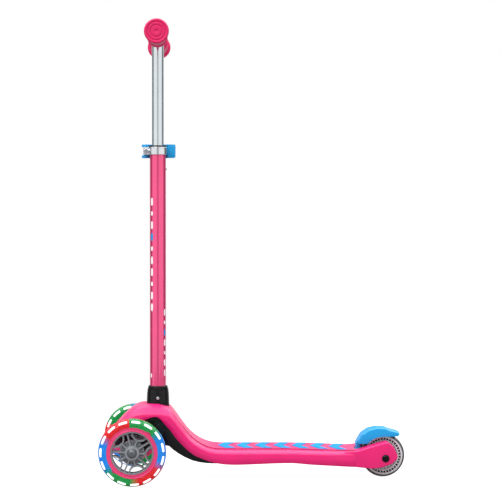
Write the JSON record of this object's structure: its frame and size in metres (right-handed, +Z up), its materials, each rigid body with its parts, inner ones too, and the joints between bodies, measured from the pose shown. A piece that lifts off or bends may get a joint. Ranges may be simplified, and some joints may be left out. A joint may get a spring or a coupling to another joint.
{
  "type": "kick scooter",
  "caption": "Small child's lean-to-steer kick scooter with a moulded S-shaped deck, lit front wheels, a rear foot brake and a telescoping handlebar with a quick-release clamp.",
  "frame": {"origin": "middle of the bounding box, on the ground", "axes": "+X towards the rear wheel, +Y across the deck, +Z up the column"},
  "size_m": [0.5584, 0.286, 0.825],
  "materials": {
    "pink_moulding": "satin moulded polypropylene",
    "pink_lacquer": "glossy powder coat on aluminium tube",
    "pink_rubber": "soft moulded grip",
    "blue_moulding": "satin moulded plastic",
    "blue_rubber": "matt raised anti-slip pads",
    "black_moulding": "fine-grained black plastic",
    "anodised_tube": "satin anodised tube",
    "polished_band": "polished collar",
    "zinc_steel": "zinc-plated hardware",
    "black_oxide": "black coated bolt",
    "spring_steel": "spring steel",
    "hub_grey": "grey metallic-look moulding",
    "ring_pink": "pink core ring",
    "clear_tyre": "clear cast polyurethane over coloured light",
    "light_guides": "glowing white light guides",
    "smoke_tyre": "dark translucent polyurethane",
    "pale_hub": "pale grey core",
    "bronze_bush": "sintered bush"
  },
  "bodies": {
    "deck": {"deck_shell": "pink_moulding", "grip_pads": "blue_rubber", "deck_carrier": "black_moulding", "deck_screws": "zinc_steel", "column_socket": "black_moulding", "outer_tube": "pink_lacquer", "tube_bushing": "black_moulding", "clamp_band": "polished_band", "clamp_bolt": "zinc_steel", "clamp_nut": "zinc_steel", "cam_washer": "black_moulding", "clamp_pivot_pin": "zinc_steel", "kingpin": "zinc_steel", "kingpin_nut": "zinc_steel", "lean_spring_left": "spring_steel", "lean_spring_right": "spring_steel", "socket_clip": "spring_steel", "rear_axle": "black_oxide", "rear_axle_nut": "black_oxide", "rear_spacers": "zinc_steel", "rear_bearing_spacer": "zinc_steel", "brake_pin": "zinc_steel", "brake_springs": "spring_steel"},
    "handlebar": {"upper_tube": "anodised_tube", "crossbar": "anodised_tube", "bar_plugs": "black_moulding", "grip_left": "pink_rubber", "grip_right": "pink_rubber", "guide_bush": "black_moulding", "height_clip": "spring_steel"},
    "height_button": {"height_button": "zinc_steel"},
    "socket_button": {"socket_button": "zinc_steel"},
    "clamp_lever": {"clamp_lever": "blue_moulding"},
    "truck": {"truck_body": "black_moulding", "front_axle": "zinc_steel", "axle_nuts": "polished_band", "pivot_bushes": "bronze_bush", "magnet_spacer_left": "zinc_steel", "magnet_spacer_right": "zinc_steel"},
    "front_wheel_left": {"tyre_left": "clear_tyre", "light_ring_left": "light_guides", "ring_core_left": "ring_pink", "wheel_hub_left": "hub_grey", "bearings_left": "zinc_steel"},
    "front_wheel_right": {"tyre_right": "clear_tyre", "light_ring_right": "light_guides", "ring_core_right": "ring_pink", "wheel_hub_right": "hub_grey", "bearings_right": "zinc_steel"},
    "rear_wheel": {"rear_tyre": "smoke_tyre", "rear_hub": "pale_hub", "rear_bearings": "zinc_steel"},
    "brake": {"brake_guard": "blue_moulding", "brake_cheek_left": "blue_moulding", "brake_cheek_right": "blue_moulding", "brake_pad": "zinc_steel"}
  },
  "joints": [
    {"name": "height_slide", "type": "slide", "parent": "deck", "child": "handlebar", "axis": [0, 0, 1], "range_m": [-0.15, 0], "deforming": ["height_button"]},
    {"name": "height_button_press", "type": "slide", "parent": "handlebar", "child": "height_button", "axis": [-1, 0, 0], "range_m": [0, 0.0042], "stiffness_N_per_m": 900, "springref_m": -0.002, "deforming": ["height_clip"]},
    {"name": "socket_button_press", "type": "slide", "parent": "deck", "child": "socket_button", "axis": [0, 1, 0], "range_m": [0, 0.0042], "stiffness_N_per_m": 900, "springref_m": -0.002, "deforming": ["socket_clip"]},
    {"name": "clamp_lever_open", "type": "hinge", "parent": "deck", "child": "clamp_lever", "pos_m": [-0.19625, 0.014, 0.599], "axis": [0, 0, 1], "range_deg": [0, 150]},
    {"name": "lean_steer", "type": "hinge", "parent": "deck", "child": "truck", "pos_m": [-0.19206, 0, 0.06944], "axis": [-0.766, 0, 0.6428], "range_deg": [-15, 15], "stiffness_Nm_per_rad": 40, "deforming": ["lean_spring_left", "lean_spring_right"]},
    {"name": "front_wheel_left_spin", "type": "hinge", "parent": "truck", "child": "front_wheel_left", "pos_m": [-0.21875, -0.11, 0.0605], "axis": [0, 1, 0], "continuous": true},
    {"name": "front_wheel_right_spin", "type": "hinge", "parent": "truck", "child": "front_wheel_right", "pos_m": [-0.21875, 0.11, 0.0605], "axis": [0, 1, 0], "continuous": true},
    {"name": "rear_wheel_spin", "type": "hinge", "parent": "deck", "child": "rear_wheel", "pos_m": [0.23925, 0, 0.04], "axis": [0, 1, 0], "continuous": true},
    {"name": "brake_press", "type": "hinge", "parent": "deck", "child": "brake", "pos_m": [0.193, 0, 0.0495], "axis": [0, 1, 0], "range_deg": [0, 4.5], "stiffness_Nm_per_rad": 3, "springref_deg": -8.59, "deforming": ["brake_springs"]}
  ]
}
